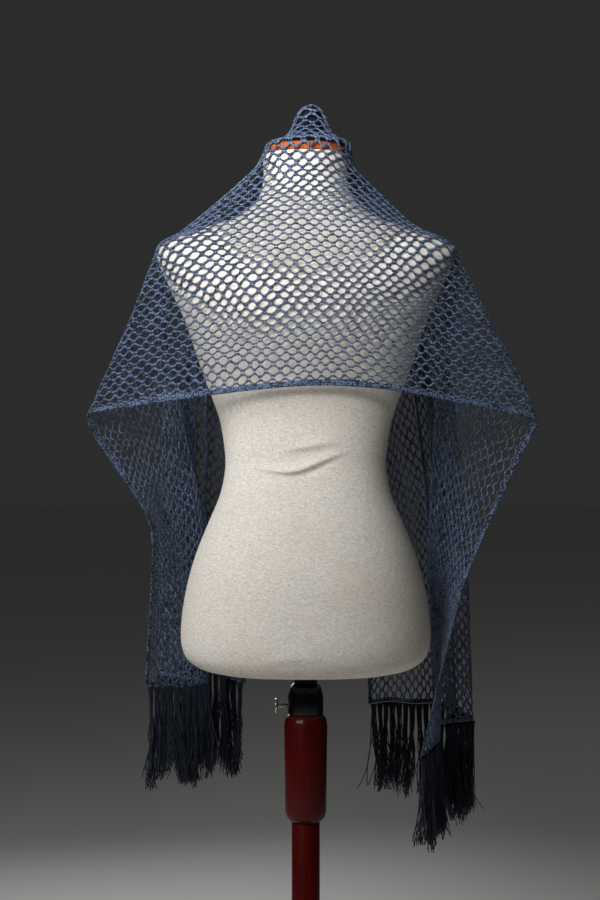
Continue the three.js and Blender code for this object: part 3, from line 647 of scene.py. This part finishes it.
# Moves points straight out of the form until they are clear of it. With a pull of 1, points
# farther out are drawn in to the same clearance.
def clearOfForm(points, clearance, pull=0):
    probe, passes = 0.5, 4
    for _ in range(passes):
        away = outside(points)
        slope = np.stack([(outside(points + probe * np.eye(3)[k]) - away) / probe
                          for k in range(3)], axis=1)
        size = np.maximum(np.linalg.norm(slope, axis=1), 1e-6)
        short = clearance - away / size
        short = np.where(short > 0, short, pull * short)
        points = points + slope * (short / size)[:, None]
    return points


# Rows of net as straight lines with (a, x, y, height) at the middle, blade, turn, collar,
# chest, waist and hem.
def rowLines(side, v):
    middle = fromTable(stole["middle"], v)
    blade = fromTable(stole["blade"], v)
    sign = -1 if side == "left" else 1
    dip = stole["leftDip"] * np.clip(1 - v / stole["dipReach"], 0, 1) if side == "left" else 0
    lines = [np.stack([0 * v, middle[:, 1], middle[:, 2], middle[:, 3]], axis=1),
             np.stack([blade[:, 1], middle[:, 1] + sign * blade[:, 2], blade[:, 3],
                       blade[:, 4] - dip], axis=1),
             fromTable(stole["turn"][side], v)[:, 1:], fromTable(stole["collar"][side], v)[:, 1:]]
    for a, rows in stole["fall"][side]:
        hanging = fromTable(rows, v)
        lines.append(np.stack([0 * v + a, hanging[:, 1], hanging[:, 2], hanging[:, 3]], axis=1))
    return np.stack(lines)


def alongLines(lines, a):
    i = 1 + (lines[1:-1, None, :, 0] < a[None]).sum(axis=0)
    row = np.broadcast_to(np.arange(a.shape[1]), a.shape)
    low, high = lines[i - 1, row], lines[i, row]
    f = (a - low[..., 0]) / (high[..., 0] - low[..., 0])
    return low[..., 1:] + (high - low)[..., 1:] * f[..., None]


def smoothShare(value, none, full):
    f = np.clip((value - none) / (full - none), 0, 1)
    return f * f * (3 - 2 * f)


# Evens out the net over the neck and the knob, where the rows crowd together.
def easeHead(points, u, v):
    head = stole["head"]
    near = np.flatnonzero(np.abs(u) < head["hugAlong"])
    high = np.flatnonzero(v > head["acrossNone"])
    part = np.ix_(near, high)
    alongShare = smoothShare(np.abs(u[near]), head["alongNone"], head["alongFull"])
    acrossShare = smoothShare(v[high], head["acrossNone"], head["acrossFull"])
    share = head["ease"] * (alongShare[:, None] * acrossShare)[..., None]
    patch = points[part]
    for _ in range(head["passes"]):
        even = patch.copy()
        even[1:-1, 1:-1] = (patch[2:, 1:-1] + patch[:-2, 1:-1] + patch[1:-1, 2:]
                            + patch[1:-1, :-2]) / 4
        even[1:-1, -1] = (patch[2:, -1] + patch[:-2, -1]) / 2
        patch = patch + (even - patch) * share
        # above the cap it lies close to the knob
        hug = head["hug"] * smoothShare(patch[..., 2] - form["neckTop"], head["hugNone"],
                                        head["hugFull"])[..., None]
        closest = clearOfForm(patch.reshape(-1, 3), stole["clearance"], 1).reshape(patch.shape)
        patch = clearOfForm((patch + (closest - patch) * hug).reshape(-1, 3),
                            stole["clearance"]).reshape(patch.shape)
    points[part] = patch
    return points


# The stole's surface as a fine grid: the straight rows averaged over a small patch, which
# rounds each fold, then moved clear of the form.
def layStole():
    step = stole["step"]
    u = np.arange(-stole["leftLength"], stole["rightLength"] + step / 2, step)
    v = np.arange(0, stole["width"] + step / 2, step)
    left = (u < 0)[:, None]
    turn = np.where(left, fromTable(stole["turn"]["left"], v)[:, 1],
                    fromTable(stole["turn"]["right"], v)[:, 1])
    far = np.abs(u)[:, None]
    soft = np.clip(stole["softnessRate"] * np.abs(turn - far), stole["turnSoftness"],
                   stole["openSoftness"])
    # the patch narrows towards the ends, and stays a little open at them
    toEnd = np.where(left, stole["leftLength"], stole["rightLength"]) - far
    reach = np.minimum(soft, toEnd + stole["leastSoftness"])
    total = np.zeros((len(u), len(v), 3))
    weights = sum(w for _, w in stole["patch"]) ** 2
    for j, wj in stole["patch"]:
        lines = {side: rowLines(side, v + j * stole["foldSoftness"]) for side in ("left", "right")}
        for i, wi in stole["patch"]:
            along = u[:, None] + i * reach
            total += wi * wj / weights * np.where((along < 0)[..., None],
                                                  alongLines(lines["left"], -along),
                                                  alongLines(lines["right"], along))
    points = clearOfForm(total.reshape(-1, 3), stole["clearance"]).reshape(total.shape)
    points = easeHead(points, u, v)
    points[..., 2] += formBottom
    normals = np.cross(np.gradient(points, axis=0), np.gradient(points, axis=1))
    normals /= np.linalg.norm(normals, axis=-1, keepdims=True)
    return np.concatenate([points, normals], axis=-1)


stoleGrid = layStole()
print("stole laid over the form")


# how far the stitches are pulled askew, over small and wide cells, less near the edges; the
# seeds are (small, wide) along and then across the stole
handwork = {"cell": 14, "pull": 1.6, "wideCell": 60, "widePull": 4.5, "edge": 16, "least": 0.05,
            "seeds": ((11, 12), (13, 14)), "table": 256, "start": 5000}


# Smooth seeded noise from -1 to 1 over (u, v), about one swing to a cell.
def evenNoise(u, v, cell, seed):
    size, start = handwork["table"], handwork["start"]
    table = np.random.default_rng(seed).uniform(-1, 1, (size, size))
    fu, fv = (u + start) / cell, (v + start) / cell
    iu, iv = np.floor(fu).astype(int), np.floor(fv).astype(int)
    fu, fv = fu - iu, fv - iv
    fu, fv = fu * fu * (3 - 2 * fu), fv * fv * (3 - 2 * fv)
    iu, iv, nextU, nextV = iu % size, iv % size, (iu + 1) % size, (iv + 1) % size
    near = table[iu, iv] * (1 - fv) + table[iu, nextV] * fv
    far = table[nextU, iv] * (1 - fv) + table[nextU, nextV] * fv
    return near * (1 - fu) + far * fu


# Places points (u, v, height) of the flat work on the draped stole, a little uneven as
# handwork is.
def onStole(u, v, height):
    width = stole["width"]
    toEnd = np.where(u < 0, stole["leftLength"] + u, stole["rightLength"] - u)
    fade = np.clip(np.minimum(np.minimum(v, width - v), toEnd) / handwork["edge"],
                   handwork["least"], 1)
    du, dv = ((handwork["pull"] * evenNoise(u, v, handwork["cell"], small)
               + handwork["widePull"] * evenNoise(u, v, handwork["wideCell"], wide)) * fade
              for small, wide in handwork["seeds"])
    step = stole["step"]
    inside = 1.001  # keeps a point within the grid's last cell
    fu = np.clip((u + du + stole["leftLength"]) / step, 0, stoleGrid.shape[0] - inside)
    fv = np.clip((v + dv) / step, 0, stoleGrid.shape[1] - inside)
    iu, iv = fu.astype(int), fv.astype(int)
    fu, fv = (fu - iu)[:, None], (fv - iv)[:, None]
    place = ((stoleGrid[iu, iv] * (1 - fv) + stoleGrid[iu, iv + 1] * fv) * (1 - fu)
             + (stoleGrid[iu + 1, iv] * (1 - fv) + stoleGrid[iu + 1, iv + 1] * fv) * fu)
    return place[:, :3] + place[:, 3:] * height[:, None]


# A closed tube along X from start to end, cut into rings.
def yarnTube(start, end, rings, sides, radius):
    bm = bmesh.new()
    length = end - start
    lie = (Matrix.Translation(((start + end) / 2, 0, 0))
           @ Matrix.Rotation(math.radians(90), 4, "Y"))
    bmesh.ops.create_cone(bm, cap_ends=True, cap_tris=False, segments=sides, radius1=radius,
                          radius2=radius, depth=length, matrix=lie)
    lengthways = [e for e in bm.edges
                  if abs(e.verts[0].co.x - e.verts[1].co.x) > length / 2]
    bmesh.ops.subdivide_edges(bm, edges=lengthways, cuts=rings - 1)
    return bm


def arrayed(piece, count, spacing):
    array = piece.modifiers.new("repeat", "ARRAY")
    array.count = count
    array.use_relative_offset = False
    array.use_constant_offset = True
    array.constant_offset_displace = (0, spacing, 0)
    applyModifiers(piece)


# the net: wavy rounds of chain along the stole, each caught to the next at its crests
net = {
    "mesh": 17.2, "ringsPerMesh": 8, "rounds": 72, "border": 8, "inset": 2.0,
    "yarn": 2.5, "sides": 5, "wave": 1.65, "knotSide": 1.5, "knotOver": 1.3, "crest": 0.3,
    "knotThick": 1.2,
    # how near the crest (1) the stitches beside it stand, how wide they are, where the crest
    # starts, and which part of the yarn's section counts as its near side and its top
    "besideAt": 0.7071, "besideWide": 0.2, "crestFrom": 0.75, "nearSide": 1, "topSide": 0.3,
    # piece, its first and last ring counted from the middle, and the CAD node it stands for
    "stretches": [("netLeftFall", -377, -180, "net_left_fall"),
                  ("netBackLeft", -180, 0, "net_top"),
                  ("netBackRight", 0, 184, "net_top"),
                  ("netRightFall", 184, 407, "net_right_fall")],
    "ownArea": 0.45,  # the yarn's share of the flat work, the rest being holes
}


def makeNet(name, first, last, node):
    ring = net["mesh"] / net["ringsPerMesh"]
    spacing = (stole["width"] - 2 * net["border"] - 2 * net["inset"]) / (net["rounds"] - 1)
    bm = yarnTube(first * ring, last * ring, last - first, net["sides"], net["yarn"] / 2)
    piece = newPiece(name, bm, netYarn)
    arrayed(piece, net["rounds"], spacing)
    u, y, h = pointsOf(piece).T
    turn = np.round(y / spacing)
    across = y - turn * spacing
    phase = 2 * np.pi * u / net["mesh"] + np.pi * turn
    crest = np.cos(phase)
    toKnot = np.sign(crest) * across
    # a stitch each side of the crest reaches over to the next round and leaves a small eyelet
    beside = np.clip(1 - np.abs(np.abs(crest) - net["besideAt"]) / net["besideWide"], 0, 1)
    onCrest = np.clip((np.abs(crest) - net["crestFrom"]) / (1 - net["crestFrom"]), 0, 1)
    near = toKnot > net["nearSide"]
    reach = np.where(near, net["knotSide"], np.where(toKnot > net["topSide"], net["knotOver"], 0))
    across = across + np.sign(crest) * (beside * reach + onCrest * near * net["crest"])
    thick = 1 + (net["knotThick"] - 1) * np.clip(beside + onCrest, 0, 1)
    v = net["border"] + net["inset"] + turn * spacing + net["wave"] * crest + across
    keepLay(piece, np.stack([u, v, h], axis=1))
    setPoints(piece, onStole(u, v, h * thick) * mm)
    piece.data.shade_smooth()
    holds(piece, "net_yarn", node)
    return piece


for name, first, last, node in net["stretches"]:
    makeNet(name, first, last, node)


# the crocheted edging: a close flat band of stitches along each side, and across each end
edging = {"sides": 10, "stitch": 4.3, "ringsPerStitch": 3, "thick": 2.4, "scallop": 0.10,
          "relief": 0.22, "hem": 7, "inset": 1}


def makeEdging(name, start, end, middle, width, lengthwise, slot, *nodes):
    ring = edging["stitch"] / edging["ringsPerStitch"]
    bm = yarnTube(start, end, round((end - start) / ring), edging["sides"], 1)
    if not lengthwise:  # laid crossways, the band would turn inside out
        bmesh.ops.reverse_faces(bm, faces=bm.faces)
    piece = newPiece(name, bm, borderYarn)
    along, across, h = pointsOf(piece).T
    swell = np.cos(2 * np.pi * along / edging["stitch"])
    across = across * (width / 2) * (1 + edging["scallop"] * swell)
    h = h * edging["thick"] / 2 * (1 + edging["relief"] * swell)
    u, v = (along, middle + across) if lengthwise else (middle + across, along)
    keepLay(piece, np.stack([along, across, h], axis=1))
    setPoints(piece, onStole(u, v, h) * mm)
    holds(piece, slot, *nodes)
    return piece


half, inset = net["border"] / 2, edging["inset"]
ends = {"left": -stole["leftLength"], "right": stole["rightLength"]}
borderOuter = makeEdging("borderOuter", ends["left"] + inset, ends["right"] - inset, half,
                         net["border"], True, "border_yarn", "border_outer_left_fall",
                         "border_outer_top", "border_outer_right_fall")
borderInner = makeEdging("borderInner", ends["left"] + inset, ends["right"] - inset,
                         stole["width"] - half, net["border"], True, "border_yarn",
                         "border_inner_left_fall", "border_inner_top", "border_inner_right_fall")
hems = {side: makeEdging("hem" + side.title(), inset, stole["width"] - inset,
                         end - math.copysign(edging["hem"] / 2, end), edging["hem"], False,
                         "border_yarn", "hem_" + side)
        for side, end in ends.items()}
print("edgings made")


# the fringe: strands drawn through the hem in bunches, each caught in a small knot
fringe = {
    "bunches": 44, "strands": 21, "tufts": 3, "strand": 1.5, "sides": 3, "rings": 12,
    "length": 146, "shortest": 0.82, "spacing": 4, "rootSpread": 11, "rootDepth": 1.4,
    "knotDrop": 6, "knot": (2.6, 2.2, 2.8), "gather": 0.75, "tuftSpread": 5.2, "loose": 1.5,
    "sway": (9, 5), "wobble": 4.0, "stray": 0.08, "strayReach": 16, "shy": 0.6,
    "front": 194,  # no strand swings out further than this
    # how far from the corners the bunches start, how far each side of a bunch the hem's run is
    # taken, where a tuft has opened, how it widens, and how much a stray bends in or out
    "margin": 5, "aside": 2, "openDrop": 60, "widening": 0.8, "strayOut": 0.4,
    "lengths": (0.92, 1), "beats": (0.7, 1.8), "layApart": 17.0, "knotRise": 1.0,
    "seeds": {"left": 21, "right": 22},
}


def makeFringe(side, end):
    rng = np.random.default_rng(fringe["seeds"][side])
    bunches, strands = fringe["bunches"], fringe["strands"]
    count = bunches * strands
    bm = yarnTube(0, 1, fringe["rings"], fringe["sides"], fringe["strand"] / 2)
    piece = newPiece("fringe" + side.title(), bm, fringeYarn)
    arrayed(piece, count, fringe["spacing"])
    t, y, thick = pointsOf(piece).T
    t = np.clip(t, 0, 1)  # rounding leaves some a hair under 0, which has no power of 0.8
    strand = np.round(y / fringe["spacing"]).astype(int)
    wide = y - strand * fringe["spacing"]
    bunch = strand // strands
    # where each bunch hangs, and which way the hem runs there
    margin = fringe["margin"]
    v = margin + (stole["width"] - 2 * margin) * (np.arange(bunches) + 0.5) / bunches
    u = np.full(bunches, float(end))
    here, before, after = (onStole(u, v + shift, 0 * v)
                           for shift in (0, -fringe["aside"], fringe["aside"]))
    run = after - before
    run[:, 2] = 0
    run /= np.linalg.norm(run, axis=1, keepdims=True)
    outward = np.stack([run[:, 1], -run[:, 0], 0 * v], axis=1)
    # each strand's own place in its bunch and tuft, its length and its bend
    inBunch = np.tile((np.arange(strands) + 0.5) / strands * 2 - 1, bunches)
    depth = rng.uniform(-1, 1, count)
    tufts = fringe["tufts"]
    tuft = np.arange(count) // strands * tufts + rng.integers(0, tufts, count)
    tuftPlace = rng.normal(0, fringe["tuftSpread"], (bunches * tufts, 2))
    tuftLength = rng.uniform(fringe["shortest"], 1, bunches * tufts)
    ownPlace = rng.normal(0, fringe["loose"], (count, 2))
    long = fringe["length"] * tuftLength[tuft] * rng.uniform(*fringe["lengths"], count)
    stray = (rng.random(count) < fringe["stray"]) * rng.normal(0, fringe["strayReach"], count)
    beat, turn = rng.uniform(*fringe["beats"], count), rng.uniform(0, 2 * np.pi, (2, count))
    lean = rng.normal(0, fringe["sway"], (bunches, 2))
    drop = t * long[strand]
    gathered = np.clip(drop / fringe["knotDrop"], 0, 1)
    opened = np.clip((drop - fringe["knotDrop"]) / fringe["openDrop"], 0, 1)
    spread = (1 - (1 - fringe["gather"]) * gathered) * (1 - opened)
    sideways, inOut = (
        root * spread
        + opened * (tuftPlace[tuft[strand], k] * t**fringe["widening"] + ownPlace[strand, k])
        + lean[bunch, k] * t**2 + bend[strand] * t**2
        + fringe["wobble"] * t * np.sin(2 * np.pi * beat[strand] * t + turn[k, strand])
        for k, root, bend in ((0, fringe["rootSpread"] / 2 * inBunch[strand], stray),
                              (1, fringe["rootDepth"] * depth[strand],
                               fringe["strayOut"] * stray)))
    lay = np.stack([drop, strand * fringe["layApart"] + wide, thick], axis=1)
    place = (here[bunch] + run[bunch] * (sideways + wide)[:, None]
             + outward[bunch] * (inOut + thick)[:, None])
    place[:, 2] -= drop + fringe["shy"]
    # strands that would swing out too far in front are drawn back
    past = np.zeros(count)
    np.maximum.at(past, strand, place[:, 1] - fringe["front"])
    place[:, 1] -= past[strand] * t
    keepLay(piece, lay)
    setPoints(piece, place * mm)
    # the knots, joined to the strands
    bm = bmesh.new()
    bm.from_mesh(piece.data)
    layer = bm.verts.layers.float_vector["yarnLay"]
    for k in range(bunches):
        knot = bmesh.ops.create_icosphere(bm, subdivisions=1, radius=1)["verts"]
        turnTo = Matrix((run[k], -outward[k], (0, 0, 1))).transposed().to_4x4()
        centre = here[k] - np.array((0, 0, fringe["knotDrop"] - fringe["knotRise"]))
        bmesh.ops.transform(bm, verts=knot, matrix=Matrix.Scale(mm, 4)
                            @ Matrix.Translation(centre) @ turnTo
                            @ Matrix.Diagonal((*fringe["knot"], 1)))
        for vert in knot:
            vert[layer] = vert.co
    for face in bm.faces:
        face.smooth = True
    bm.to_mesh(piece.data)
    bm.free()
    holds(piece, "fringe_yarn", "fringe_" + side)
    return piece


fringes = {side: makeFringe(side, end) for side, end in ends.items()}
print("fringes made")
